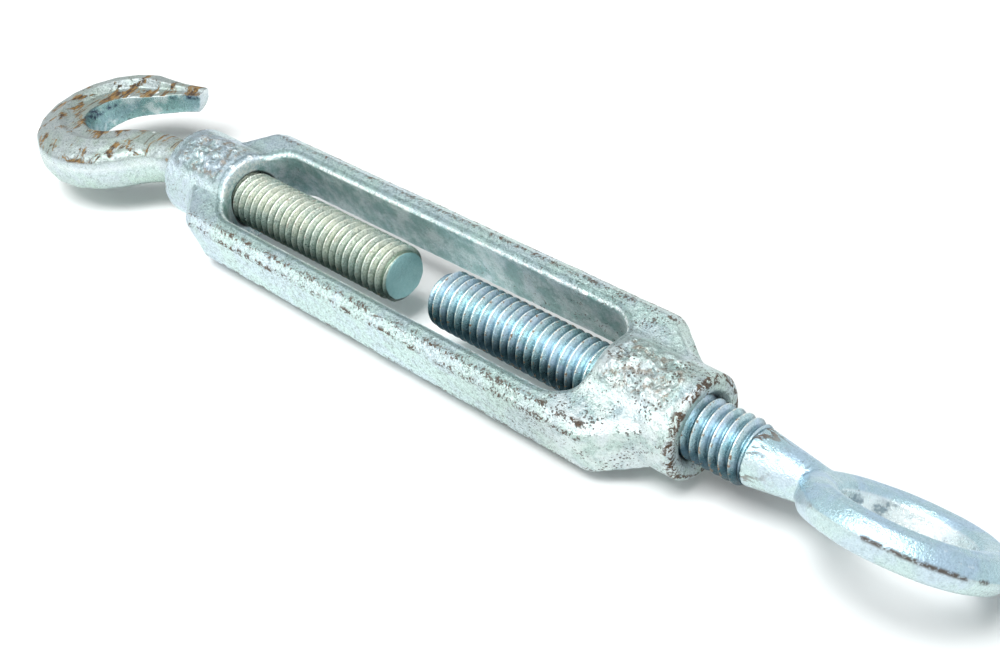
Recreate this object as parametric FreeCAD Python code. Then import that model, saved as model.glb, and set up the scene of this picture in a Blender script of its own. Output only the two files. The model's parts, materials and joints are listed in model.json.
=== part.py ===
import FreeCAD, Part
import math
import os

# A forged hook and eye turnbuckle: an open frame with a threaded boss at each end, a hook bolt and an
# eye bolt. The bolts carry threads of opposite hand, so turning the frame draws both of them in.
# Sizes are in millimetres. The thread axis runs along X, with the hook towards -X. Each piece is drawn
# with the two bars of the frame side by side along Y. Then all of it is rolled about the thread axis
# and set down as it lies on a table, with the origin below the middle of its outer box.

# Thread, half an inch across with twelve turns to the inch
threadDiameter = 12.7
threadPitch = 25.4 / 12
threadDepth = 1.35
threadClearance = 0.05

# Frame
frameLength = 152.4
frameWidth = 32.6
slotWidth = 22.0
slotCornerRadius = 8.0
slotBevel = 1.0
barHeight = 14.4
barBevel = 2.0
bossDiameter = 21.2
bossLength = 21.4
bossBevel = 0.9
boreMouthBevel = 1.3
hookShoulderSetback = 17.6
hookShoulderTaper = 46.0
eyeShoulderSetback = 15.9
eyeShoulderTaper = 37.0
shoulderRadius = 5.0
creaseRadius = 2.7
slotLength = frameLength - 2 * bossLength

# How far the bolts are drawn in: where the hook bolt ends inside the slot, and the gap to the eye bolt
hookInnerEnd = -3.2
boltGap = 12.4

# Hook bolt. The hook's middle line leaves the neck on a sweep, goes around the bowl and ends in a prong
hookThreadLength = 70.0
hookShankLength = 77.3
hookNeckDiameter = 10.2
hookPlane = -11.6
hookSweepRadius = 20.9
hookSweepTurn = 51.8
hookBowlDiameter = 17.0
hookBowlTurn = 207.0
hookBladeWidth = 14.0
hookBladeThickness = 11.0
hookBladeFullness = 3.2
hookSpreadStart = 0.15
hookTaperStart = 0.3
hookProngLength = 14.2
hookTipWidth = 5.4
hookTipThickness = 5.4

# Eye bolt
eyeThreadLength = 78.4
eyeShankLength = 92.5
eyeNeckDiameter = 11.3
eyeWaistDiameter = 7.2
eyePlane = -51.3
eyeHole = 23.3
eyeRingWidth = 7.3
eyeRingThickness = 7.4
eyeRingFullness = 2.15

# Attitude on the table
restRoll = 15.2

# Numbers of flats around the threads and the forged sections, and of stations along the hook
threadFlatCount = 12
hookFlatCount = 16
eyeFlatCount = 10
sweepStepCount = 5
bowlStepCount = 12
prongStepCount = 3

# How far an edge may lie from where it is looked for
pickMargin = 0.1

X = FreeCAD.Vector(1, 0, 0)
Y = FreeCAD.Vector(0, 1, 0)
Z = FreeCAD.Vector(0, 0, 1)
origin = FreeCAD.Vector(0, 0, 0)


def at(x, y, z=0.0):
    return FreeCAD.Vector(x, y, z)


def flat(corners):
    """A flat face with these corners."""
    return Part.Face(Part.makePolygon(corners + [corners[0]]))


def rod(diameter, start, end):
    """A round bar along the thread axis."""
    return Part.makeCylinder(diameter / 2, end - start, at(start, 0), X)


def cone(startDiameter, endDiameter, start, end):
    """A tapered round bar along the thread axis."""
    return Part.makeCone(startDiameter / 2, endDiameter / 2, end - start, at(start, 0), X)


def turned(shape, degrees):
    """The shape, turned end for end in the plane of the bars."""
    shape.rotate(origin, Z, degrees)
    return shape


def upright_edges(shape):
    """The edges of a shape that stand square to the plane of the bars."""
    return [edge for edge in shape.Edges if abs(edge.tangentAt(edge.FirstParameter).z) > 0.9]


def slot_prism():
    """The open slot between the bars, with rounded corners."""
    corner = at(-slotLength / 2, -slotWidth / 2, -bossDiameter)
    block = Part.makeBox(slotLength, slotWidth, 2 * bossDiameter, corner)
    return block.makeFillet(slotCornerRadius, upright_edges(block))


def plate():
    """The forged plate that holds the bars, before the slot is punched. Its ends slope in to the bosses."""
    half = frameWidth / 2
    inner = bossDiameter / 2 - barBevel
    hookShoulder = frameLength / 2 - hookShoulderSetback
    eyeShoulder = frameLength / 2 - eyeShoulderSetback
    hookEnd = hookShoulder + (half - inner) / math.tan(math.radians(hookShoulderTaper))
    eyeEnd = eyeShoulder + (half - inner) / math.tan(math.radians(eyeShoulderTaper))
    corners = [at(-hookEnd, -inner), at(-hookShoulder, -half), at(eyeShoulder, -half), at(eyeEnd, -inner)]
    corners += [at(corner.x, -corner.y) for corner in reversed(corners)]
    block = flat(corners).extrude(Z * barHeight)
    block.translate(Z * -barHeight / 2)
    shoulders = [edge for edge in upright_edges(block) if abs(edge.CenterOfMass.y) > inner + pickMargin]
    block = block.makeFillet(shoulderRadius, shoulders)
    rims = [
        edge for edge in block.Edges
        if abs(abs(edge.CenterOfMass.z) - barHeight / 2) < 0.01
        and abs(edge.CenterOfMass.y) > pickMargin
    ]
    return block.makeChamfer(barBevel, rims)


def boss():
    """The threaded boss towards +X, from inside the slot to its end face."""
    shape = rod(bossDiameter, slotLength / 2 - slotCornerRadius / 2, frameLength / 2)
    rim = [edge for edge in shape.Edges if abs(edge.CenterOfMass.x - frameLength / 2) < 0.01]
    return shape.makeChamfer(bossBevel, rim)


def crease_edges(shape):
    """Where the bosses meet the plate, clear of the slot and of the end faces."""
    found = []
    for edge in shape.Edges:
        middle = edge.valueAt((edge.FirstParameter + edge.LastParameter) / 2)
        on_boss = abs(math.hypot(middle.y, middle.z) - bossDiameter / 2) < 0.02
        past_slot = abs(middle.x) > slotLength / 2 - slotCornerRadius / 2 + pickMargin
        before_end = abs(middle.x) < frameLength / 2 - bossBevel - pickMargin
        if on_boss and past_slot and before_end and abs(edge.CenterOfMass.y) > 1:
            found.append(edge)
    return found


def slot_rims(shape):
    """The edges of the slot along the bars, on both faces of the plate."""
    found = []
    for edge in shape.Edges:
        middle = edge.valueAt((edge.FirstParameter + edge.LastParameter) / 2)
        on_face = abs(abs(edge.CenterOfMass.z) - barHeight / 2) < 0.01
        in_slot = abs(middle.x) < slotLength / 2 and abs(middle.y) < slotWidth / 2 + 0.01
        if on_face and in_slot:
            found.append(edge)
    return found


def frame():
    """The forged frame: two bars, a boss at each end, and a bore through each boss."""
    body = plate().fuse([boss(), turned(boss(), 180)]).removeSplitter()
    body = body.makeFillet(creaseRadius, crease_edges(body))
    body = body.cut(slot_prism())
    body = body.makeChamfer(slotBevel, slot_rims(body))
    boreDiameter = threadDiameter + 2 * threadClearance
    bore = rod(boreDiameter, -frameLength, frameLength)
    mouthDiameter = boreDiameter + 2 * boreMouthBevel
    mouth = cone(boreDiameter, mouthDiameter, frameLength / 2 - boreMouthBevel, frameLength / 2)
    return body.cut([bore, mouth, turned(mouth.copy(), 180)])


def thread_ring(x, diameter):
    """The corners of one many-sided ring around the thread axis."""
    corners = []
    for step in range(threadFlatCount):
        turn = 2 * math.pi * (step + 0.5) / threadFlatCount
        corners.append(at(x, diameter / 2 * math.cos(turn), diameter / 2 * math.sin(turn)))
    return corners


def threaded_rod(start, end):
    """The threaded length of a bolt, with one many-sided ridge for each turn of its thread."""
    turns = round((end - start) / threadPitch)
    advance = (end - start) / turns / 2
    root = threadDiameter - 2 * threadDepth
    rings = [
        thread_ring(start + advance * step, threadDiameter if step % 2 else root)
        for step in range(2 * turns + 1)
    ]
    faces = [flat(rings[0]), flat(rings[-1])]
    for low, high in zip(rings, rings[1:]):
        for step in range(threadFlatCount):
            ahead = (step + 1) % threadFlatCount
            faces.append(flat([low[step], low[ahead], high[ahead], high[step]]))
    shell = Part.makeShell(faces)
    shell.sewShape()
    return Part.makeSolid(shell)


def oval(width, thickness, fullness, count, lead):
    """The corners of a many-sided oval, each as how far across and how far up it lies.

    A fullness of 2 gives an ellipse, and more fills its corners out towards a rectangle.
    """
    corners = []
    for step in range(count):
        turn = 2 * math.pi * (step + lead) / count
        across = math.copysign(abs(math.cos(turn)) ** (2 / fullness), math.cos(turn))
        up = math.copysign(abs(math.sin(turn)) ** (2 / fullness), math.sin(turn))
        corners.append((across * width / 2, up * thickness / 2))
    return corners


def blend(start, end, share):
    """A smooth change from one size to another, which holds still before 0 and after 1."""
    share = min(max(share, 0.0), 1.0)
    return start + (end - start) * share * share * (3 - 2 * share)


def hook_stations():
    """Places along the hook's middle line, each with its heading in radians and its share.

    The share is 0 to 1 along the sweep, 1 to 2 around the bowl and 2 to 3 along the prong.
    """
    bowlRadius = (hookBowlDiameter + hookBladeWidth) / 2
    place = at(-hookShankLength + hookInnerEnd, 0)
    heading = math.pi
    stations = []
    bends = [(hookSweepRadius, hookSweepTurn, sweepStepCount), (bowlRadius, -hookBowlTurn, bowlStepCount)]
    for stage, (radius, degrees, steps) in enumerate(bends):
        turn = math.radians(degrees)
        side = math.copysign(radius, turn)
        centre = place + at(-math.sin(heading), math.cos(heading)) * side
        for step in range(steps):
            angle = heading + turn * step / steps
            outward = at(math.sin(angle), -math.cos(angle)) * side
            stations.append((centre + outward, angle, stage + step / steps))
        heading += turn
        place = centre + at(math.sin(heading), -math.cos(heading)) * side
    ahead = at(math.cos(heading), math.sin(heading))
    for step in range(prongStepCount + 1):
        along = step / prongStepCount
        stations.append((place + ahead * hookProngLength * along, heading, 2 + along))
    return stations


def hook_section(place, heading, share):
    """The hook's section at one station: round at the neck, flat-sided at the bowl, small at the tip."""
    taper = (share - 1 - hookTaperStart) / (2 - hookTaperStart)
    spread = blend(hookNeckDiameter, hookBladeWidth, share - hookSpreadStart)
    width = blend(spread, hookTipWidth, taper)
    thickness = blend(blend(hookNeckDiameter, hookBladeThickness, share), hookTipThickness, taper)
    fullness = blend(2, hookBladeFullness, 2 * share)
    side = at(-math.sin(heading), math.cos(heading))
    corners = [
        place + side * across + Z * up
        for across, up in oval(width, thickness, fullness, hookFlatCount, 0.5)
    ]
    return Part.makePolygon(corners + [corners[0]])


def hook_bolt():
    """The hook bolt: a threaded shank, a round neck and the forged hook in one piece."""
    sections = [hook_section(*station) for station in hook_stations()]
    hook = Part.makeLoft(sections, True, True)
    threadEnd = hookInnerEnd - hookThreadLength
    neck = rod(hookNeckDiameter, hookInnerEnd - hookShankLength, threadEnd)
    shape = threaded_rod(threadEnd, hookInnerEnd).fuse([neck, hook])
    shape.rotate(origin, X, hookPlane)
    return shape


def eye_ring(reach):
    """The ring of the eye, drawn about its own middle, with its inside a true round band."""
    corners = oval(eyeRingWidth, eyeRingThickness, eyeRingFullness, eyeFlatCount, 0.5)
    inward = min(across for across, up in corners)
    middle = eyeHole / 2 - inward
    ring = flat([at(middle + across, 0, up) for across, up in corners]).revolve(origin, Z, 360)
    ring.translate(at(reach + middle, 0))
    return ring


def eye_bolt():
    """The eye bolt: a threaded shank, a neck that tapers and the ring, forged in one piece."""
    start = hookInnerEnd + boltGap
    threadEnd = start + eyeThreadLength
    reach = start + eyeShankLength
    neck = cone(eyeNeckDiameter, eyeWaistDiameter, threadEnd, reach)
    shape = threaded_rod(start, threadEnd).fuse([neck, eye_ring(reach)])
    shape.rotate(origin, X, eyePlane)
    return shape


def laid_down(pieces):
    """The pieces rolled to their attitude on the table, with the origin below their middle."""
    for piece in pieces:
        piece.rotate(origin, X, restRoll)
    box = Part.makeCompound(pieces).BoundBox
    for piece in pieces:
        piece.translate(at(-box.Center.x, -box.Center.y, -box.ZMin))
    return pieces


os.makedirs("parts", exist_ok=True)
pieces = laid_down([frame(), hook_bolt(), eye_bolt()])
for name, piece in zip(["frame", "hook_bolt", "eye_bolt"], pieces):
    piece.exportStep("parts/" + name + ".step")
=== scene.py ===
import bpy
import json
import math
from mathutils import Matrix, Vector, kdtree

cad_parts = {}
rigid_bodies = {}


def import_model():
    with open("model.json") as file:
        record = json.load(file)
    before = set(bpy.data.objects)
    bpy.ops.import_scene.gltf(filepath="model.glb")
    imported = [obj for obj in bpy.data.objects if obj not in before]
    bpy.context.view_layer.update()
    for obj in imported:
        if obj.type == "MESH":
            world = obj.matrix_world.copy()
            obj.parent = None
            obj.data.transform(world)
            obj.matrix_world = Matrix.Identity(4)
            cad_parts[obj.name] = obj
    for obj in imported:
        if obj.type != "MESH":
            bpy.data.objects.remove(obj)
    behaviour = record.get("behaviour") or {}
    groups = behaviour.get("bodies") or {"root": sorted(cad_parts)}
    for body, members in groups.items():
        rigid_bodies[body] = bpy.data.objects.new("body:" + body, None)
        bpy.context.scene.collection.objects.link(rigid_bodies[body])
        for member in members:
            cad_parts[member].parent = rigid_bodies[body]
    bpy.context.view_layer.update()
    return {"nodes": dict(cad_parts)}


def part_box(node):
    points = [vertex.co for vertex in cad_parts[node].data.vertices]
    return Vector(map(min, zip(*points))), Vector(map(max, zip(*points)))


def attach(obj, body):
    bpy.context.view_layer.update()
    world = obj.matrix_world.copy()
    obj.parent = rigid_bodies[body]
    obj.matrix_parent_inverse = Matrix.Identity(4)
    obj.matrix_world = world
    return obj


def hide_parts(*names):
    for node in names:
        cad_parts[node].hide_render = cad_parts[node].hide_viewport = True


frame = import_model()
print("frame loaded")

# how the frame, the hook and the ring lie: rolled about the thread axis, with these middles
lie = {"roll": math.radians(15.2), "middle": sum(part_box("frame"), Vector()) / 2}
hookLie = {"roll": math.radians(3.6), "middle": Vector((-0.111, 0.0001, lie["middle"].z))}
eyeLie = {"roll": math.radians(-36.1),
          "middle": Vector((0.114591, lie["middle"].y, lie["middle"].z))}
# points this close are made one
weld = {"node": 0.000001, "turns": 0.000002, "cut": 0.0000001}


def deselectAll():
    if bpy.context.object and bpy.context.object.mode != "OBJECT":
        bpy.ops.object.mode_set(mode="OBJECT")
    bpy.ops.object.select_all(action="DESELECT")


def pick(piece):
    deselectAll()
    piece.select_set(True)
    bpy.context.view_layer.objects.active = piece


def editAll(piece):
    pick(piece)
    bpy.ops.object.mode_set(mode="EDIT")
    bpy.ops.mesh.select_all(action="SELECT")


def applyModifier(piece, kind, **settings):
    pick(piece)
    modifier = piece.modifiers.new(kind.title(), kind)
    for key, value in settings.items():
        setattr(modifier, key, value)
    bpy.ops.object.modifier_apply(modifier=modifier.name)


def copyNode(nodeName, pieceName):
    piece = bpy.data.objects.new(pieceName, frame["nodes"][nodeName].data.copy())
    bpy.context.scene.collection.objects.link(piece)
    piece.data.materials.clear()
    editAll(piece)
    bpy.ops.mesh.remove_doubles(threshold=weld["node"])
    bpy.ops.object.mode_set(mode="OBJECT")
    return piece


def cutAcross(piece, x, keepLow):
    # keeps the part of a piece on one side of a plane across the thread axis, and closes the cut
    editAll(piece)
    bpy.ops.mesh.bisect(plane_co=(x, 0, 0), plane_no=(1, 0, 0), use_fill=True,
                        threshold=weld["cut"], clear_inner=not keepLow, clear_outer=keepLow)
    bpy.ops.object.mode_set(mode="OBJECT")


def makeEven(piece, voxel, rounding):
    # one closed skin of even faces, with its corners rounded
    applyModifier(piece, "REMESH", mode="VOXEL", voxel_size=voxel)
    applyModifier(piece, "SMOOTH", factor=0.5, iterations=rounding)


def fromAxis(point):
    # how far a point is from the thread axis
    return math.hypot(point.y - lie["middle"].y, point.z - lie["middle"].z)


def setFromAxis(vertex, wanted):
    # moves a vertex straight in or out to this distance from the thread axis
    share = wanted / fromAxis(vertex.co)
    vertex.co.y = lie["middle"].y + (vertex.co.y - lie["middle"].y) * share
    vertex.co.z = lie["middle"].z + (vertex.co.z - lie["middle"].z) * share


def turned(point, roll, middle):
    # a place measured in axes that are rolled about the thread axis
    return Matrix.Rotation(-roll, 3, "X") @ (point - middle)


def between(value, low, high):
    # 0 below one value, 1 above another and a straight slope from one to the other
    return min(max((value - low) / (high - low), 0.0), 1.0)


def groupOf(piece, groupName, weightOf):
    # a vertex group, with each weight worked out from the vertex's place
    group = piece.vertex_groups.new(name=groupName)
    for vertex in piece.data.vertices:
        group.add([vertex.index], weightOf(vertex.co), "REPLACE")
    return groupName


def dent(piece, textureName, size, strength, groupName=""):
    # uneven forged skin, pushed in and out along the surface
    texture = bpy.data.textures.new(textureName, "CLOUDS")
    texture.noise_scale = size
    texture.noise_depth = 1
    applyModifier(piece, "DISPLACE", texture=texture, strength=strength, mid_level=0.5,
                  texture_coords="LOCAL", vertex_group=groupName)


def newGroup(groupName, inputs, outputs):
    # a shader node group with named sockets
    group = bpy.data.node_groups.new(groupName, "ShaderNodeTree")
    kinds = {"v": "NodeSocketVector", "f": "NodeSocketFloat", "c": "NodeSocketColor"}
    for side, sockets in (("INPUT", inputs), ("OUTPUT", outputs)):
        for socketName, kind in sockets.items():
            group.interface.new_socket(name=socketName, in_out=side, socket_type=kinds[kind])
    return group, group.nodes.new("NodeGroupInput"), group.nodes.new("NodeGroupOutput")


def fill(tree, node, values):
    # each input gets a link or a fixed value
    for socket, value in values.items():
        if isinstance(value, bpy.types.NodeSocket):
            tree.links.new(value, node.inputs[socket])
        else:
            node.inputs[socket].default_value = value


def addNode(tree, kind, values=None, **settings):
    node = tree.nodes.new("ShaderNode" + kind)
    for key, value in settings.items():
        setattr(node, key, value)
    fill(tree, node, values or {})
    return node


def maths(tree, operation, first, *others):
    # works through its values in order, two at a time
    for other in others:
        first = addNode(tree, "Math", {0: first, 1: other}, operation=operation).outputs[0]
    return first


def times(tree, *values):
    return maths(tree, "MULTIPLY", *values)


def plus(tree, *values):
    return maths(tree, "ADD", *values)


def less(tree, *values):
    return maths(tree, "SUBTRACT", *values)


def most(tree, *values):
    return maths(tree, "MAXIMUM", *values)


def reach(tree, first, second):
    # the length of two distances at right angles
    pair = addNode(tree, "CombineXYZ", {0: first, 1: second}).outputs[0]
    return addNode(tree, "VectorMath", {0: pair}, operation="LENGTH").outputs["Value"]


def fade(tree, value, low, high, toLow=0.0, toHigh=1.0):
    # a smooth step from one value to another
    node = addNode(tree, "MapRange", {0: value, 1: low, 2: high, 3: toLow, 4: toHigh},
                   interpolation_type="SMOOTHSTEP")
    return node.outputs[0]


def fall(tree, value, low, high):
    # 1 below one value and 0 above another
    return fade(tree, value, low, high, 1.0, 0.0)


def band(tree, value, low, high, soft):
    # 1 between two values, with soft ends
    return times(tree, fade(tree, value, low - soft, low), fall(tree, value, high, high + soft))


def noise(tree, vector, scale, detail, roughness, distortion=0.0):
    values = {"Vector": vector, "Scale": scale, "Detail": detail, "Roughness": roughness,
              "Distortion": distortion}
    return addNode(tree, "TexNoise", values).outputs[0]


def noiseIn(group, given, share, *settings):
    # a noise inside a group, at a share of the scale that the group is given
    scale = times(group, given.outputs["Scale"], share)
    return noise(group, given.outputs["Vector"], scale, *settings)


def setMix(tree, share, first, second, way="MIX"):
    # the colour sockets of a Mix node, picked by place because their names repeat
    node = addNode(tree, "Mix", {0: share, 6: first, 7: second}, data_type="RGBA", blend_type=way)
    return node.outputs[2]


def makePlating():
    # clouded zinc: two tints that drift into each other, with dark and bright grains
    # noises have share of scale, detail, roughness and distortion;
    # spans have from, to and the results at both ends
    look = {
        "drift": (0.35, 3.0, 0.6, 0.4), "spots": (2.6, 4.0, 0.7), "grain": (8.0, 2.0, 0.7),
        "cloudySpan": (0.4, 0.62), "spotSpan": (0.48, 0.7, 0.0, 0.8),
        "darkSpan": (0.5, 0.68, 0.0, 0.75), "paleSpan": (0.32, 0.47, 0.55, 0.0),
        "pale": (0.92, 0.99, 0.98, 1),
        "spotGloss": (0.3, 0.75, -0.08, 0.14), "driftGloss": (0.35, 0.65, -0.06, 0.06),
        "spotHeight": 0.65, "grainHeight": 0.35}
    group, given, out = newGroup(
        "zincPlating",
        {"Vector": "v", "Scale": "f", "Grain": "f", "Clear": "c", "Cloudy": "c", "Dark": "c"},
        {"Color": "c", "Gloss": "f", "Height": "f"})
    drift = noiseIn(group, given, *look["drift"])
    spots = noiseIn(group, given, *look["spots"])
    grain = noiseIn(group, given, *look["grain"])
    tint = setMix(group, fade(group, drift, *look["cloudySpan"]), given.outputs["Clear"],
                  given.outputs["Cloudy"])
    dark = given.outputs["Dark"]
    for mark, span, markTint in ((spots, "spotSpan", dark), (grain, "darkSpan", dark),
                                 (grain, "paleSpan", look["pale"])):
        share = times(group, fade(group, mark, *look[span]), given.outputs["Grain"])
        tint = setMix(group, share, tint, markTint)
    gloss = plus(group, fade(group, spots, *look["spotGloss"]),
                 fade(group, drift, *look["driftGloss"]))
    height = plus(group, times(group, spots, look["spotHeight"]),
                  times(group, grain, look["grainHeight"]))
    fill(group, out, {"Color": tint, "Gloss": gloss, "Height": height})
    return group


def makePits():
    # ragged pits, crowded in some places: round cells, with their outlines stirred
    look = {"stirDetail": 2.0, "stirMiddle": (-0.5, -0.5, -0.5), "stir": 0.0009,
            "crowd": (0.16, 3.0, 0.7), "sizeSpan": (0.5, 1.0, 0.0, 0.5), "lip": (0.0, 0.1)}
    group, given, out = newGroup("pitting", {"Vector": "v", "Scale": "f", "Cover": "f"},
                                 {"Mask": "f", "Height": "f"})
    vector, scale = given.outputs["Vector"], given.outputs["Scale"]
    stir = addNode(group, "TexNoise", {"Vector": vector, "Scale": scale,
                                       "Detail": look["stirDetail"]}).outputs["Color"]
    for values, operation in (({1: look["stirMiddle"]}, "ADD"), ({"Scale": look["stir"]}, "SCALE"),
                              ({1: vector}, "ADD")):
        stir = addNode(group, "VectorMath", {0: stir, **values}, operation=operation).outputs[0]
    cells = addNode(group, "TexVoronoi", {"Vector": stir, "Scale": scale, "Randomness": 1.0})
    crowd = plus(group, noiseIn(group, given, *look["crowd"]), given.outputs["Cover"])
    inside = less(group, fade(group, crowd, *look["sizeSpan"]), cells.outputs["Distance"])
    mask = fade(group, inside, *look["lip"])
    fill(group, out, {"Mask": mask, "Height": times(group, mask, -1.0)})
    return group


def makeRust():
    # ragged scars where the plating has gone
    look = {"patch": (1.0, 6.0, 0.68, 0.8), "shade": (4.0, 3.0, 0.6), "patchSpan": (0.97, 1.04),
            "freshSpan": (0.38, 0.62), "old": (0.06, 0.04, 0.028, 1)}
    group, given, out = newGroup(
        "rustScars", {"Vector": "v", "Scale": "f", "Cover": "f", "Fresh": "c"},
        {"Mask": "f", "Color": "c"})
    level = plus(group, noiseIn(group, given, *look["patch"]), given.outputs["Cover"])
    freshness = fade(group, noiseIn(group, given, *look["shade"]), *look["freshSpan"])
    fill(group, out, {"Mask": fade(group, level, *look["patchSpan"]),
                      "Color": setMix(group, freshness, look["old"], given.outputs["Fresh"])})
    return group


def makeEdges():
    # raised edges, painted pale as partly rubbed wear and partly painted highlight, and hollows
    # that hold dirt
    hollowSpan = (0.43, 0.488)
    group, given, out = newGroup("edgeFinder", {"Low": "f", "High": "f"},
                                 {"Edge": "f", "Hollow": "f"})
    point = addNode(group, "NewGeometry").outputs["Pointiness"]
    fill(group, out, {"Edge": fade(group, point, given.outputs["Low"], given.outputs["High"]),
                      "Hollow": fall(group, point, *hollowSpan)})
    return group


shared = {"plating": makePlating(), "pits": makePits(), "rust": makeRust(), "edges": makeEdges()}


def useGroup(tree, name, **values):
    node = tree.nodes.new("ShaderNodeGroup")
    node.node_tree = shared[name]
    fill(tree, node, values)
    return node.outputs


def usePlating(tree, at, look, grain):
    return useGroup(tree, "plating", Vector=at["place"], Scale=look["scale"], Grain=grain,
                    Clear=look["clear"], Cloudy=look["cloudy"], Dark=look["dark"])


def startMaterial(materialName, roll, middle):
    # a material with its places: as they are, in axes rolled with the piece,
    # and how much a face looks up in those axes
    material = bpy.data.materials.new(materialName)
    material.use_nodes = True
    tree = material.node_tree
    coords = addNode(tree, "TexCoord").outputs
    shift = -(Matrix.Rotation(-roll, 3, "X") @ middle)
    rolled = addNode(tree, "Mapping", {"Vector": coords["Object"], "Location": shift,
                                       "Rotation": (-roll, 0, 0)})
    axes = addNode(tree, "SeparateXYZ", {0: rolled.outputs[0]}).outputs
    up = (0, -math.sin(roll), math.cos(roll))
    level = addNode(tree, "VectorMath", {0: coords["Normal"], 1: up}, operation="DOT_PRODUCT")
    return material, tree, {"place": coords["Object"], "x": axes[0], "y": axes[1], "z": axes[2],
                            "level": level.outputs["Value"]}


def finishMaterial(tree, color, roughness, metallic, height, strength, distance):
    shader = tree.nodes["Principled BSDF"]
    bump = addNode(tree, "Bump", {"Height": height, "Strength": strength, "Distance": distance})
    fill(tree, shader, {"Base Color": color, "Roughness": roughness, "Metallic": metallic,
                        "Normal": bump.outputs[0]})


def makeFrameZinc():
    look = {
        "clear": (0.61, 0.78, 0.75, 1), "cloudy": (0.62, 0.74, 0.79, 1),
        "dark": (0.19, 0.26, 0.25, 1), "top": (0.52, 0.56, 0.56, 1),
        "shoulder": (0.62, 0.66, 0.66, 1), "white": (0.96, 1.0, 0.99, 1),
        "inside": (0.95, 0.98, 1.0, 1), "lining": (0.92, 1.0, 1.0, 1),
        "slotWallShade": (0.50, 0.68, 0.66, 1), "wearAndHighlight": (0.95, 0.99, 0.99, 1),
        "rightSideTone": (0.76, 0.75, 0.72, 1), "lavender": (0.92, 0.90, 0.95, 1),
        "dirt": (0.10, 0.085, 0.07, 1), "gapShade": (0.02, 0.03, 0.03, 1),
        "smudge": (0.24, 0.21, 0.17, 1), "fresh": (0.13, 0.088, 0.055, 1),
        "scale": 420.0, "gloss": 0.40, "dull": 0.3, "metal": 0.92, "dullMetal": 0.8,
        "bump": 0.85, "bumpDepth": 0.0006,
        "liningShare": 0.6, "edgeBrightShare": 0.6, "pitShare": 0.85, "pitDepth": 0.5, "lumpDepth": 1.8,
        "pitScale": 1500.0, "pitCover": 0.12, "pitRight": 0.12, "pitLine": 0.16,
        "rustScale": 680.0, "rustCover": 0.45, "rustRight": 0.05}
    slot = {"halfLength": 0.0548, "halfWidth": 0.011, "corner": 0.008}
    # where things start and end, in metres from the frame's middle or from the slot's outline;
    # a third value is how soft the ends are
    zone = {
        "wall": (0.0, 0.0004), "rim": (0.0001, 0.0003, 0.0003),
        "shoulder": (0.0007, 0.0014, 0.0003), "topFace": (0.0056, 0.0064),
        "right": (0.01, 0.06), "left": (-0.06, -0.045),
        "rightBoss": (0.045, 0.06), "topEdge": (0.0143, 0.0072), "lowEdge": (0.0163, 0.0052),
        "line": (0.0003, 0.0012), "end": (0.0742, 0.0754), "endRing": (0.0086, 0.0094),
        "mouth": (0.0746, 0.075), "mouthRing": (0.0076, 0.0080),
        "patchLong": (0.058, 0.072, 0.002), "patchWide": (-0.0045, 0.0055, 0.0015),
        "patchTop": (0.006, 0.007), "entryShade": (0.0540, 0.059, 0.001)}
    # the same, with the results at both ends in place of softness
    change = {
        "grain": (0.045, 0.06, 1.0, 0.7), "rightSideTone": (0.05, 0.06, 1.0, 0.7),
        "bossHighlight": (-0.001, 0.003, 0.35, 0.1), "entryShade": (0.0066, 0.0071, 0.92, 0.0)}
    # spans of how much a face looks up, and of the noises, which have scale, detail and roughness
    span = {
        "top": (0.74, 0.93), "side": (0.6, 0.85), "mottle": (0.38, 0.62), "sheen": (0.42, 0.64),
        "rubbing": (0.46, 0.54), "held": (0.3, 0.6, 0.9, 0.3), "heldRough": (0.0, 1.0, 0.5, 1.0),
        "smudge": (0.5, 0.6, 0.0, 0.8), "edges": (0.52, 0.56)}
    grains = {
        "rubbing": (1100.0, 4.0, 0.7), "mottle": (210.0, 5.0, 0.65), "sheen": (330.0, 4.0, 0.6),
        "smudge": (520.0, 6.0, 0.75), "lumps": (620.0, 2.0, 0.5)}
    material, tree, at = startMaterial("frameZinc", lie["roll"], lie["middle"])
    noises = {name: noise(tree, at["place"], *grains[name]) for name in grains}
    x, y, z = (maths(tree, "ABSOLUTE", at[axis], 0.0) for axis in "xyz")
    pastEnd = most(tree, less(tree, x, slot["halfLength"] - slot["corner"]), 0.0)
    pastSide = most(tree, less(tree, y, slot["halfWidth"] - slot["corner"]), 0.0)
    outside = less(tree, reach(tree, pastEnd, pastSide), slot["corner"])
    wall = fall(tree, outside, *zone["wall"])
    topFace = fade(tree, z, *zone["topFace"])
    rim = times(tree, band(tree, outside, *zone["rim"]), topFace)
    shoulder = times(tree, band(tree, outside, *zone["shoulder"]), topFace)
    right = fade(tree, at["x"], *zone["right"])
    topEdge, lowEdge = (reach(tree, less(tree, y, zone[edge][0]), less(tree, z, zone[edge][1]))
                        for edge in ("topEdge", "lowEdge"))
    line = fall(tree, maths(tree, "MINIMUM", topEdge, lowEdge), *zone["line"])
    around = reach(tree, at["y"], at["z"])
    endRing = fade(tree, around, *zone["endRing"])
    ends = times(tree, fade(tree, x, *zone["end"]), endRing)
    mouth = times(tree, fade(tree, x, *zone["mouth"]), fall(tree, around, *zone["mouthRing"]))
    rough = times(tree, band(tree, x, *zone["patchLong"]), band(tree, at["y"], *zone["patchWide"]),
                  fade(tree, at["z"], *zone["patchTop"]))

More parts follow.
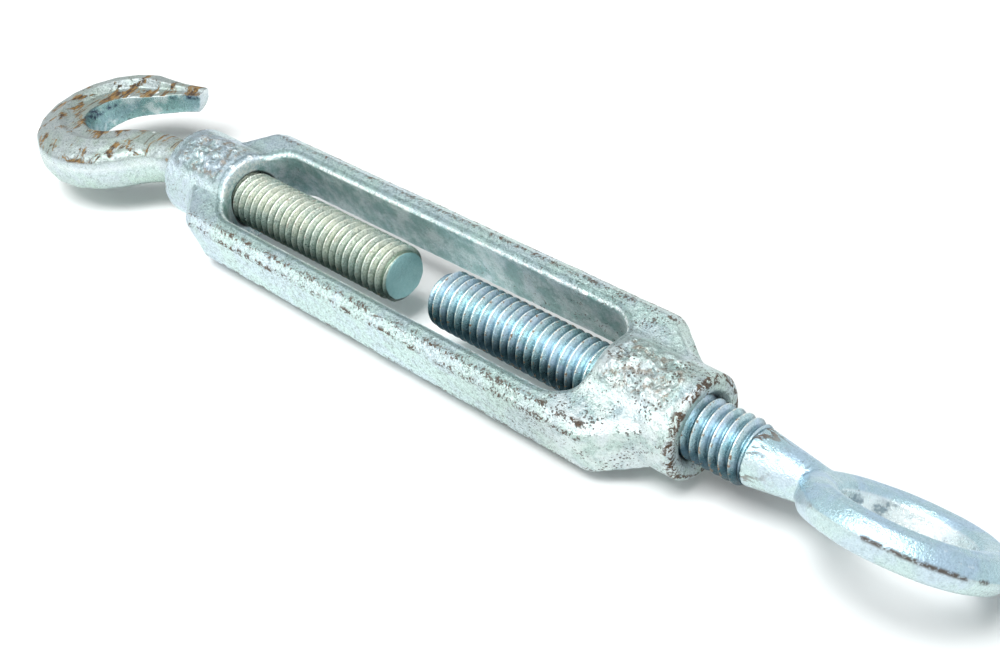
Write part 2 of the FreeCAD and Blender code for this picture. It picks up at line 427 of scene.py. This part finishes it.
    plating = usePlating(tree, at, look, fade(tree, x, *change["grain"]))
    crowd = plus(tree, times(tree, right, look["pitRight"]), times(tree, line, look["pitLine"]),
                 look["pitCover"])
    pits = useGroup(tree, "pits", Vector=at["place"], Scale=look["pitScale"], Cover=crowd)
    cover = plus(tree, times(tree, ends, right, look["rustRight"]), look["rustCover"])
    rust = useGroup(tree, "rust", Vector=at["place"], Scale=look["rustScale"], Cover=cover,
                    Fresh=look["fresh"])
    edges = useGroup(tree, "edges", Low=span["edges"][0], High=span["edges"][1])
    # faces that do not look up are darker towards the right end
    rightSideTone = times(tree, right, fall(tree, at["level"], *span["side"]),
                 fade(tree, x, *change["rightSideTone"]))
    # painted shade: the slot's inner walls are darkened in patches
    slotWallShade = times(tree, wall, fade(tree, noises["mottle"], *span["mottle"]))
    # painted highlight: the right boss is painted white between its pits, most on its near side
    bossHighlight = times(tree, fade(tree, at["x"], *zone["rightBoss"]),
                  fall(tree, noises["sheen"], *span["sheen"]),
                  fade(tree, at["y"], *change["bossHighlight"]), endRing)
    # edges and the slot's rim are painted pale: partly rubbed wear, partly painted highlight
    wearAndHighlight = times(tree, most(tree, times(tree, edges["Edge"], look["edgeBrightShare"]), rim),
                   fade(tree, noises["rubbing"], *span["rubbing"]))
    held = times(tree, edges["Hollow"], fade(tree, noises["rubbing"], *span["held"]),
                 fade(tree, rough, *span["heldRough"]))
    smudge = times(tree, rough, fade(tree, noises["smudge"], *span["smudge"]))
    rusty = times(tree, rust["Mask"], most(tree, line, ends))
    dots = times(tree, pits["Mask"], look["pitShare"])
    # painted shade: a near-black ring round the thread where it goes into the bore at each end of
    # the slot
    entryShade = times(tree, fade(tree, around, *change["entryShade"]), band(tree, x, *zone["entryShade"]))
    color = plating["Color"]
    for share, tint, way in (
            # painted shade: faces that look up are darkened, standing in for the dimmer light they
            # reflect from above
            (fade(tree, at["level"], *span["top"]), look["top"], "MULTIPLY"),
            (shoulder, look["shoulder"], "MULTIPLY"),
            (times(tree, wall, look["liningShare"]), look["lining"], "MIX"),
            (most(tree, wall, mouth), look["inside"], "MULTIPLY"),
            (rightSideTone, look["rightSideTone"], "MULTIPLY"),
            (fall(tree, at["x"], *zone["left"]), look["lavender"], "MULTIPLY"),
            (slotWallShade, look["slotWallShade"], "MULTIPLY"),
            (bossHighlight, look["white"], "MIX"),
            (wearAndHighlight, look["wearAndHighlight"], "MIX"),
            (held, look["dirt"], "MIX"),
            (smudge, look["smudge"], "MIX"),
            (rusty, rust["Color"], "MIX"),
            (dots, look["dirt"], "MIX"),
            (entryShade, look["gapShade"], "MIX")):
        color = setMix(tree, share, color, tint, way)
    dull = most(tree, rusty, dots, held, entryShade)
    roughness = plus(tree, plating["Gloss"], look["gloss"], times(tree, dull, look["dull"]))
    metallic = less(tree, look["metal"], times(tree, dull, look["dullMetal"]))
    height = plus(tree, plating["Height"], times(tree, pits["Height"], look["pitDepth"]),
                  times(tree, rough, noises["lumps"], look["lumpDepth"]))
    finishMaterial(tree, color, roughness, metallic, height, look["bump"], look["bumpDepth"])
    return material


def makeForgedZinc(materialName, where, look):
    # zinc of a bolt's forged end; the piece says how near its inner edge each place is
    same = {
        "dirt": (0.09, 0.08, 0.07, 1), "pitScale": 1900.0, "pitShare": 0.7, "stretch": (2.6, 1, 1),
        "dull": 0.35, "metal": 0.94, "dullMetal": 0.85, "scarDepth": 0.3, "bumpDepth": 0.0004,
        "topSoft": 0.25, "rustSoft": 0.01, "streakSoft": 0.0008, "scratchSoft": 0.002,
        "scratch": 0.2, "edgeBright": 0.2}
    # spans of how far inward, of how much a face looks up, of places and of the two noises,
    # which have scale, detail and roughness
    span = {
        "inner": (0.3, 0.7), "wall": (0.8, 0.95), "steep": (0.6, 0.85), "outer": (0.1, 0.4),
        "wallGlare": (0.33, 0.49, 0.6, 0.0), "streaks": (0.47, 0.6),
        "streakGrain": (0.4, 0.56, 0.45, 1.0), "lowSideShade": (-0.0035, 0.001),
        "glow": (0.0005, 0.003), "edgeBright": (0.38, 0.52), "scars": (0.35, 0.65),
        "near": (-0.002, 0.002), "parting": (0.56, 0.64, 0.15, 1.0),
        "partingGrain": (0.36, 0.5, 0.3, 1.0), "edges": (0.535, 0.59)}
    grains = {"rubbing": (1100.0, 3.0, 0.6), "shade": (190.0, 4.0, 0.6)}
    material, tree, at = startMaterial(materialName, where["roll"], where["middle"])
    plating = usePlating(tree, at, look, look["grain"])
    inward = addNode(tree, "Attribute", attribute_name="inward").outputs["Fac"]
    ridge = addNode(tree, "Attribute", attribute_name="ridge").outputs["Fac"]
    # scars run slantwise over the flat
    drawn = addNode(tree, "Mapping", {"Vector": at["place"], "Rotation": (0, 0, look["slant"]),
                                      "Scale": same["stretch"]}, vector_type="TEXTURE").outputs[0]
    cover = plus(tree, fade(tree, inward, *span["inner"], 0.0, look["rustInward"]),
                 look["rustCover"])
    rust = useGroup(tree, "rust", Vector=drawn, Scale=look["rustScale"], Cover=cover,
                    Fresh=look["fresh"])
    pits = useGroup(tree, "pits", Vector=at["place"], Scale=same["pitScale"],
                    Cover=look["pitCover"])
    edges = useGroup(tree, "edges", Low=span["edges"][0], High=span["edges"][1])
    rubbing = noise(tree, at["place"], *grains["rubbing"])
    shade = noise(tree, at["place"], *grains["shade"])
    # painted shade: faces that look up are darkened and tinted, standing in for the dimmer light
    # they reflect from above
    flat = fade(tree, at["level"], look["topFrom"], look["topFrom"] + same["topSoft"])
    wall = times(tree, fade(tree, inward, *span["wall"]), fall(tree, at["level"], *span["steep"]))
    streaks = times(tree, wall, band(tree, at["z"], *look["streak"], same["streakSoft"]),
                    fade(tree, shade, *span["streaks"], 0.0, look["streaked"]),
                    fade(tree, rubbing, *span["streakGrain"]))
    # the outer side has painted shade low down and a painted highlight under the edge of the flat
    side = times(tree, fall(tree, inward, *span["outer"]), fall(tree, at["level"], *span["outer"]))
    lowSideShade = times(tree, side, fall(tree, at["z"], *span["lowSideShade"]))
    glow = times(tree, side, fade(tree, at["z"], *span["glow"], 0.0, look["glow"]))
    # edges painted pale: partly rubbed wear, partly painted highlight
    bright = times(tree, edges["Edge"],
                   fade(tree, rubbing, *span["edgeBright"], same["edgeBright"], look["edgeBrightShare"]))
    scars = times(tree, rust["Mask"],
                  fade(tree, at["level"], *span["scars"], look["rustUnder"], 1.0),
                  fall(tree, at["x"], look["rustTo"], look["rustTo"] + same["rustSoft"]))
    deep = times(tree, band(tree, at["x"], *look["scratch"], same["scratchSoft"]),
                 fall(tree, at["y"], *span["near"]))
    parting = plus(tree, shade, times(tree, deep, same["scratch"]))
    parting = times(tree, ridge, fade(tree, parting, *span["parting"]),
                    fade(tree, rubbing, *span["partingGrain"]))
    dots = most(tree, times(tree, pits["Mask"], same["pitShare"]), parting)
    color = plating["Color"]
    for share, tint, way in (
            (flat, look["top"], "MULTIPLY"),
            (times(tree, wall, look["lining"]), look["wearAndHighlight"], "MIX"),
            (wall, look["wallTint"], "MULTIPLY"),
            # painted highlight: pale patches on the inner wall
            (times(tree, wall, fade(tree, shade, *span["wallGlare"])), look["wearAndHighlight"], "MIX"),
            (streaks, look["streakTint"], "MIX"),
            (lowSideShade, look["lowSideShade"], "MULTIPLY"),
            (glow, look["wearAndHighlight"], "MIX"),
            (bright, look["wearAndHighlight"], "MIX"),
            (scars, rust["Color"], "MIX"),
            (dots, same["dirt"], "MIX")):
        color = setMix(tree, share, color, tint, way)
    dull = most(tree, scars, dots)
    roughness = plus(tree, plating["Gloss"], look["gloss"], times(tree, dull, same["dull"]),
                     times(tree, flat, look["flatDull"]))
    metallic = less(tree, same["metal"], times(tree, dull, same["dullMetal"]))
    height = less(tree, plating["Height"], times(tree, scars, same["scarDepth"]))
    finishMaterial(tree, color, roughness, metallic, height, look["bump"], same["bumpDepth"])
    return material


def makeThreadZinc(materialName, look):
    # zinc of a thread: crests painted pale as partly wear and partly painted highlight, a painted
    # highlight along its top, painted shade on its roots, lower flanks and underside, and a dull
    # sawn end
    same = {"rust": (0.22, 0.14, 0.08, 1), "dull": 0.2, "metal": 0.94, "dullMetal": 0.8,
            "bumpDepth": 0.0003, "wear": (900.0, 4.0, 0.7)}
    # spans of the distance from the axis, of the height in the rolled axes and of the noise
    span = {"root": (0.0051, 0.0058), "outer": (0.0059, 0.0062), "top": (0.0046, 0.006),
            "crest": (0.43, 0.56, 0.1, 0.9), "specks": (0.56, 0.62)}
    material, tree, at = startMaterial(materialName, lie["roll"], lie["middle"])
    plating = usePlating(tree, at, look, look["grain"])
    around = reach(tree, at["y"], at["z"])
    wear = noise(tree, at["place"], *same["wear"])
    # crests are painted pale: partly worn, partly painted highlight
    crest = times(tree, fade(tree, around, *look["crest"]), fade(tree, wear, *span["crest"]))
    specks = times(tree, fade(tree, wear, *span["specks"]), fade(tree, around, *span["outer"]),
                   look["specks"])
    sawn = fade(tree, at["x"], *look["sawn"])
    color = plating["Color"]
    for share, tint, way in (
            # painted shade: roots and lower flanks darkened
            (fall(tree, around, *span["root"]), look["root"], "MULTIPLY"),
            (crest, look["wearAndHighlight"], "MIX"),
            # painted highlight: the top of the thread lightened
            (fade(tree, at["z"], *span["top"], 0.0, look["topHighlight"]), look["wearAndHighlight"], "MIX"),
            # painted shade: the underside darkened
            (fall(tree, at["z"], *look["belowAt"]), look["below"], "MULTIPLY"),
            (specks, same["rust"], "MIX"),
            (sawn, look["sawnTint"], "MIX")):
        color = setMix(tree, share, color, tint, way)
    roughness = plus(tree, plating["Gloss"], look["gloss"],
                     times(tree, most(tree, specks, sawn), same["dull"]))
    metallic = less(tree, same["metal"], times(tree, specks, same["dullMetal"]))
    finishMaterial(tree, color, roughness, metallic, plating["Height"], look["bump"],
                   same["bumpDepth"])
    return material


frameZinc = makeFrameZinc()
hookZinc = makeForgedZinc("hookZinc", hookLie, {
    "clear": (0.56, 0.69, 0.66, 1), "cloudy": (0.60, 0.69, 0.73, 1), "dark": (0.22, 0.28, 0.27, 1),
    "top": (0.54, 0.54, 0.52, 1), "wallTint": (0.52, 0.70, 0.72, 1),
    "wearAndHighlight": (0.92, 0.97, 0.97, 1), "streakTint": (0.03, 0.045, 0.085, 1),
    "lowSideShade": (0.80, 0.84, 0.78, 1), "fresh": (0.27, 0.165, 0.055, 1),
    "scale": 400.0, "grain": 0.6, "gloss": 0.28, "flatDull": 0.2, "bump": 0.7, "topFrom": 0.3,
    "lining": 0.0, "glow": 0.55, "edgeBrightShare": 0.9, "pitCover": 0.12,
    "streak": (0.0020, 0.0044), "streaked": 0.95, "scratch": (0.0, 0.001),
    "slant": math.radians(104), "rustScale": 300.0, "rustCover": 0.435, "rustInward": 0.07,
    "rustUnder": 0.0, "rustTo": 0.024})
hookThreadZinc = makeThreadZinc("hookThreadZinc", {
    "clear": (0.54, 0.62, 0.55, 1), "cloudy": (0.64, 0.68, 0.57, 1), "dark": (0.16, 0.21, 0.18, 1),
    "root": (0.32, 0.40, 0.36, 1), "below": (0.06, 0.10, 0.09, 1), "wearAndHighlight": (0.84, 0.88, 0.79, 1),
    "sawnTint": (0.30, 0.50, 0.51, 1), "scale": 520.0, "grain": 0.8, "gloss": 0.36, "bump": 0.9,
    "specks": 0.5, "topHighlight": 0.0, "crest": (0.0060, 0.0064), "belowAt": (-0.0008, 0.0032),
    "sawn": (-0.0035, -0.00325)})
eyeThreadZinc = makeThreadZinc("eyeThreadZinc", {
    "clear": (0.42, 0.62, 0.67, 1), "cloudy": (0.49, 0.63, 0.76, 1), "dark": (0.15, 0.23, 0.26, 1),
    "root": (0.42, 0.52, 0.56, 1), "below": (0.09, 0.15, 0.17, 1), "wearAndHighlight": (0.86, 0.90, 0.83, 1),
    "sawnTint": (0.2, 0.3, 0.32, 1), "scale": 420.0, "grain": 0.6, "gloss": 0.32, "bump": 0.6,
    "specks": 1.0, "topHighlight": 0.15, "crest": (0.0062, 0.00634), "belowAt": (0.0004, 0.0048),
    "sawn": (0.1997, 0.19995)})
eyeZinc = makeForgedZinc("eyeZinc", eyeLie, {
    "clear": (0.55, 0.70, 0.70, 1), "cloudy": (0.56, 0.68, 0.76, 1), "dark": (0.26, 0.33, 0.35, 1),
    "top": (0.72, 0.82, 0.90, 1), "wallTint": (1.0, 1.0, 1.0, 1),
    "wearAndHighlight": (0.95, 0.99, 0.99, 1), "streakTint": (0.10, 0.17, 0.22, 1),
    "lowSideShade": (1.0, 1.0, 0.98, 1), "fresh": (0.17, 0.105, 0.06, 1),
    "scale": 380.0, "grain": 0.4, "gloss": 0.30, "flatDull": 0.0, "bump": 0.6, "topFrom": -0.05,
    "lining": 0.55, "glow": 0.0, "edgeBrightShare": 0.0, "pitCover": 0.1,
    "streak": (-0.0012, 0.0012), "streaked": 0.75, "scratch": (0.002, 0.0145),
    "slant": 0.0, "rustScale": 500.0, "rustCover": 0.46, "rustInward": 0.0,
    "rustUnder": 0.7, "rustTo": -0.03})
print("finishes made")


def finishPiece(piece, body, material):
    piece.data.materials.clear()
    piece.data.materials.append(material)
    for face in piece.data.polygons:
        face.use_smooth = True
    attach(piece, body)


def makeFrame():
    size = {
        "voxel": 0.00044, "rounding": 2, "bore": 0.00646, "boss": 0.0106,
        "bossSpan": (0.0585, 0.0751), "bossNear": 0.0002, "skinSpan": (0.0085, 0.0095),
        "waves": (0.009, 0.00022), "grit": (0.0016, 0.00013), "lumps": (0.0024, 0.0022),
        "patchStart": (0.057, 0.059),
        "patchEnd": (0.0715, 0.0735), "patchOut": (0.0068, 0.0076), "patchMiddle": 0.0005,
        "patchSide": (0.0042, 0.0062), "patchTop": (0.006, 0.007)}
    piece = copyNode("frame", "frameForging")
    makeEven(piece, size["voxel"], size["rounding"])
    # the bosses are trued up round, and the bores clear the threads
    for vertex in piece.data.vertices:
        far = abs(vertex.co.x - lie["middle"].x)
        out = fromAxis(vertex.co)
        wanted = max(out, size["bore"])
        inBoss = size["bossSpan"][0] < far < size["bossSpan"][1]
        if inBoss and abs(out - size["boss"]) < size["bossNear"]:
            wanted = size["boss"]
        setFromAxis(vertex, wanted)

    def inPatch(point):
        spot = turned(point, lie["roll"], lie["middle"])
        share = between(abs(spot.x), *size["patchStart"])
        share *= between(fromAxis(point), *size["patchOut"])
        share *= 1 - between(abs(spot.x), *size["patchEnd"])
        share *= 1 - between(abs(spot.y - size["patchMiddle"]), *size["patchSide"])
        return share * between(spot.z, *size["patchTop"])

    skin = groupOf(piece, "skin", lambda point: between(fromAxis(point), *size["skinSpan"]))
    patch = groupOf(piece, "patch", inPatch)
    dent(piece, "frameWaves", *size["waves"], skin)
    dent(piece, "frameGrit", *size["grit"], skin)
    dent(piece, "bossLumps", *size["lumps"], patch)
    finishPiece(piece, "frame", frameZinc)
    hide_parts("frame")


makeFrame()
print("frame made")


thread = {"radius": 0.00635, "depth": 0.00128, "pitch": 0.0254 / 12, "bevel": 0.0012, "steps": 48,
          "spareTurns": 2}


def threadProfile():
    # one pitch of the thread's outline, as how far along it and how deep in
    crest = [(0.0, 0.0), (0.05, 0.02), (0.09, 0.09)]
    root = [(0.36, 0.88), (0.42, 0.97), (0.5, 1.0)]
    half = crest + root
    return half + [(1 - along, deep) for along, deep in reversed(half[:-1])]


def makeThread(pieceName, low, high, leftHand, neckLow, neckHigh):
    # a threaded rod between two places on the axis; it fades out where it runs into a neck
    radius, pitch, spare = thread["radius"], thread["pitch"], thread["spareTurns"]
    outline = [Vector((along * pitch, 0, radius - deep * thread["depth"]))
               for along, deep in threadProfile()]
    deselectAll()
    bpy.ops.mesh.primitive_plane_add(size=0.001, location=(0, 0, 0))
    piece = bpy.context.object
    piece.name = piece.data.name = pieceName
    editAll(piece)
    bpy.ops.mesh.merge(type="CENTER")
    bpy.ops.transform.translate(value=outline[0])
    for before, after in zip(outline, outline[1:]):
        bpy.ops.mesh.extrude_region_move(TRANSFORM_OT_translate={"value": after - before})
    bpy.ops.object.mode_set(mode="OBJECT")
    applyModifier(piece, "SCREW", axis="X", angle=2 * math.pi,
                  screw_offset=-pitch if leftHand else pitch,
                  iterations=math.ceil((high - low) / pitch) + 2 * spare,
                  steps=thread["steps"], render_steps=thread["steps"])
    first = high + spare * pitch if leftHand else low - spare * pitch
    piece.location = (first, lie["middle"].y, lie["middle"].z)
    pick(piece)
    bpy.ops.object.transform_apply(location=True, rotation=True, scale=True)
    editAll(piece)
    bpy.ops.mesh.remove_doubles(threshold=weld["turns"])
    bpy.ops.object.mode_set(mode="OBJECT")
    cutAcross(piece, low, keepLow=False)
    cutAcross(piece, high, keepLow=True)
    for vertex in piece.data.vertices:
        out, limit = fromAxis(vertex.co), radius
        for edge, neck, way in ((low, neckLow, 1), (high, neckHigh, -1)):
            inside = (vertex.co.x - edge) * way
            if neck:
                share = between(1 - inside / pitch, 0.0, 1.0)
                limit = min(limit, radius + (neck - radius) * share * share)
                out = max(out, neck - (1 - share) * thread["depth"])
            else:
                limit = min(limit, radius - max(thread["bevel"] - inside, 0.0))
        setFromAxis(vertex, min(out, limit))
    editAll(piece)
    bpy.ops.mesh.normals_make_consistent(inside=False)
    bpy.ops.object.mode_set(mode="OBJECT")
    return piece


def hookPath(start):
    # the middle line of the hook in its own plane:
    # places with the heading, half width and half thickness there
    size = {"bends": ((0.0189, 51.8), (0.0560, -207.0), (0.0142, 0.0)), "steps": 60,
            "shank": 0.0051, "wider": 0.0019, "widerSpan": (0.15, 1.15), "thicker": 0.0004,
            "tip": 0.0027, "taperSpan": (1.3, 2.0)}
    spot, heading, path = Vector((start, 0, 0)), math.pi, []
    for stage, (length, turn) in enumerate(size["bends"]):
        halfTurn = math.radians(turn) / size["steps"] / 2
        for step in range(size["steps"]):
            share = stage + step / size["steps"]
            taper = between(share, *size["taperSpan"])
            wide = size["shank"] + size["wider"] * between(share, *size["widerSpan"])
            thick = size["shank"] + size["thicker"] * min(share, 1.0)
            path.append((spot.copy(), heading, wide + (size["tip"] - wide) * taper,
                         thick + (size["tip"] - thick) * taper))
            heading += halfTurn
            spot += Vector((math.cos(heading), math.sin(heading), 0)) * length / size["steps"]
            heading += halfTurn
    return path


def makeHook():
    # spans along the hook are in stations of its path, spans across in half widths
    size = {
        "inner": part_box("hook_bolt")[1].x, "threadLength": 0.070, "shank": 0.0773,
        "overlap": 0.0001, "voxel": 0.00034, "rounding": 14, "wear": (0.0012, 0.0002),
        "waves": (0.008, 0.0002),
        "inwardSpan": (30, 60), "flatSpan": (25, 60), "flatAcross": (-0.5, 0.3), "swell": 0.2,
        "spare": 0.003, "slant": 0.0009, "slantMiddle": 0.3, "tipSpan": (150, 179)}
    threadEnd = size["inner"] - size["threadLength"]
    screwed = makeThread("hookThread", threadEnd, size["inner"], True, None, None)
    dent(screwed, "hookWear", *size["wear"])
    finishPiece(screwed, "hook", hookThreadZinc)
    piece = copyNode("hook_bolt", "hookForging")
    cutAcross(piece, threadEnd + size["overlap"], keepLow=True)
    makeEven(piece, size["voxel"], size["rounding"])
    # towards its inner side the hook is squared off at its own thickness
    path = hookPath(size["inner"] - size["shank"])
    near = kdtree.KDTree(len(path))
    for index, station in enumerate(path):
        near.insert(station[0], index)
    near.balance()
    axis = Vector((0, lie["middle"].y, lie["middle"].z))
    back = Matrix.Rotation(hookLie["roll"], 3, "X")
    inward = piece.data.attributes.new("inward", "FLOAT", "POINT")
    for vertex in piece.data.vertices:
        spot = turned(vertex.co, hookLie["roll"], axis)
        index = near.find(Vector((spot.x, spot.y, 0)))[1]
        place, heading, wide, thick = path[index]
        away = spot - place
        across = (away.x * math.sin(heading) - away.y * math.cos(heading)) / wide
        inward.data[vertex.index].value = across * between(index, *size["inwardSpan"])
        share = between(index, *size["flatSpan"]) * between(across, *size["flatAcross"])
        limit = thick + size["spare"] * (1 - share)
        spot.z = min(max(spot.z * (1 + size["swell"] * share), -limit), limit)
        # the tip is cut on the slant, with its upper edge ahead
        ahead = size["slant"] * between(index, *size["tipSpan"])
        ahead *= spot.z / thick + size["slantMiddle"]
        spot += Vector((math.cos(heading), math.sin(heading), 0)) * ahead
        vertex.co = back @ spot + axis
    dent(piece, "hookWaves", *size["waves"])
    finishPiece(piece, "hook", hookZinc)
    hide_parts("hook_bolt")


makeHook()
print("hook bolt made")


def makeEye():
    size = {
        "inner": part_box("eye_bolt")[0].x, "threadLength": 0.0784, "neck": 0.00565,
        "overlap": 0.0001, "voxel": 0.0003, "rounding": 12, "waves": (0.009, 0.00015),
        "hole": 0.01165,
        "ringMiddle": 0.0153, "ringOuter": 0.01856, "ringEnd": 0.019, "swell": 1.1, "ridge": 0.0004,
        "neckSpan": (-0.013, -0.008), "ridgeOut": (0.0153, 0.0163), "ridgeSlope": (0.0, 0.0013),
        "lineHalf": (0.0002, 0.0006), "lineOut": (0.0177, 0.018)}
    threadEnd = size["inner"] + size["threadLength"]
    screwed = makeThread("eyeThread", size["inner"], threadEnd, False, None, size["neck"])
    finishPiece(screwed, "eye", eyeThreadZinc)
    piece = copyNode("eye_bolt", "eyeForging")
    cutAcross(piece, threadEnd - size["overlap"], keepLow=False)
    makeEven(piece, size["voxel"], size["rounding"])
    # the ring's inside is trued up round, and its outside meets in a parting ridge
    ringMiddle = size["ringMiddle"]
    back = Matrix.Rotation(eyeLie["roll"], 3, "X")
    inward = piece.data.attributes.new("inward", "FLOAT", "POINT")
    ridge = piece.data.attributes.new("ridge", "FLOAT", "POINT")
    for vertex in piece.data.vertices:
        spot = turned(vertex.co, eyeLie["roll"], eyeLie["middle"])
        around, off = math.hypot(spot.x, spot.y), abs(spot.z)
        inward.data[vertex.index].value = (ringMiddle - around) / (ringMiddle - size["hole"])
        if around < ringMiddle:
            wanted = max(ringMiddle - (ringMiddle - around) * size["swell"], size["hole"])
        else:
            share = between(spot.x, *size["neckSpan"]) * between(around, *size["ridgeOut"])
            lower = size["ridge"] * between(off, *size["ridgeSlope"]) * share
            wanted = min(around - lower, size["ringOuter"])
            onLine = (1 - between(off, *size["lineHalf"])) * between(around, *size["lineOut"])
            ridge.data[vertex.index].value = onLine * share
        if around < size["ringEnd"]:
            out = Vector((spot.x * wanted / around, spot.y * wanted / around, spot.z))
            vertex.co = back @ out + eyeLie["middle"]
    dent(piece, "eyeWaves", *size["waves"])
    finishPiece(piece, "eye", eyeZinc)
    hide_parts("eye_bolt")


makeEye()
print("eye bolt made")


def makeCamera():
    shot = {"place": (0.19772, -0.16192, 0.18942), "right": (0.7174, 0.6916, -0.0839),
            "up": (-0.3711, 0.4812, 0.7942), "lens": 53.2, "sensor": 36, "nearest": 0.01}
    right, up = Vector(shot["right"]).normalized(), Vector(shot["up"]).normalized()
    back = right.cross(up).normalized()
    turn = Matrix((right, back.cross(right), back)).transposed()
    lens = bpy.data.cameras.new("camera")
    lens.lens = shot["lens"]
    lens.sensor_width = shot["sensor"]
    lens.clip_start = shot["nearest"]
    camera = bpy.data.objects.new("camera", lens)
    camera.matrix_world = Matrix.Translation(shot["place"]) @ turn.to_4x4()
    bpy.context.scene.collection.objects.link(camera)
    bpy.context.scene.camera = camera


def seenDirectly(tree):
    # 1 for what the camera, a reflection or a view through glass meets
    rays = addNode(tree, "LightPath").outputs
    return most(tree, rays["Is Camera Ray"], rays["Is Glossy Ray"], rays["Is Transmission Ray"])


def makeFloor():
    look = {"size": 6, "color": (0.90, 0.92, 0.92, 1), "glow": (1, 1, 1, 1), "roughness": 0.7,
            "specular": 0.2, "lift": (0.3, 0.9, 0.05, 0.95)}
    deselectAll()
    bpy.ops.mesh.primitive_plane_add(size=look["size"], location=(0, 0, 0))
    floor = bpy.context.object
    floor.name = "floor"
    material = bpy.data.materials.new("palePaper")
    material.use_nodes = True
    tree = material.node_tree
    # the floor whitens away from the part, so that it meets the backdrop without an edge
    place = addNode(tree, "TexCoord").outputs["Object"]
    away = addNode(tree, "VectorMath", {0: place}, operation="LENGTH").outputs["Value"]
    lift = times(tree, seenDirectly(tree), fade(tree, away, *look["lift"]))
    fill(tree, tree.nodes["Principled BSDF"], {
        "Base Color": look["color"], "Roughness": look["roughness"],
        "Specular IOR Level": look["specular"], "Emission Color": look["glow"],
        "Emission Strength": lift})
    floor.data.materials.append(material)


def makeLamp(lampName, place, target, size, power, color):
    lamp = bpy.data.lights.new(lampName, "AREA")
    lamp.shape = "RECTANGLE"
    lamp.size, lamp.size_y = size
    lamp.energy = power
    lamp.color = color
    holder = bpy.data.objects.new(lampName, lamp)
    holder.location = place
    holder.rotation_euler = (Vector(target) - Vector(place)).to_track_quat("-Z", "Y").to_euler()
    bpy.context.scene.collection.objects.link(holder)


def makeLight():
    # the backdrop is white where it is seen, and lights the part less than that
    backdrop = {"color": (1, 1, 1, 1), "asLight": 0.26, "asSeen": 1.0}
    scene = bpy.context.scene
    world = scene.world or bpy.data.worlds.new("studio")
    scene.world = world
    world.use_nodes = True
    tree = world.node_tree
    level = fade(tree, seenDirectly(tree), 0.0, 1.0, backdrop["asLight"], backdrop["asSeen"])
    fill(tree, tree.nodes["Background"], {"Color": backdrop["color"], "Strength": level})
    makeLamp("overheadSoftbox", place=(0.05, -0.56, 1.55), target=(0.03, 0, 0), size=(1.0, 0.9),
             power=30.0, color=(1, 1, 1))
    makeLamp("sideCard", place=(-0.28, -0.34, 0.34), target=(0.06, 0, 0.02), size=(0.25, 0.25),
             power=0.5, color=(0.97, 1, 1))


makeCamera()
makeFloor()
makeLight()
bpy.context.scene.view_settings.view_transform = "Standard"
print("camera, floor and light made")

for piece in list(bpy.data.objects):
    if piece.type == "MESH":
        print(piece.name, len(piece.data.polygons), "faces")
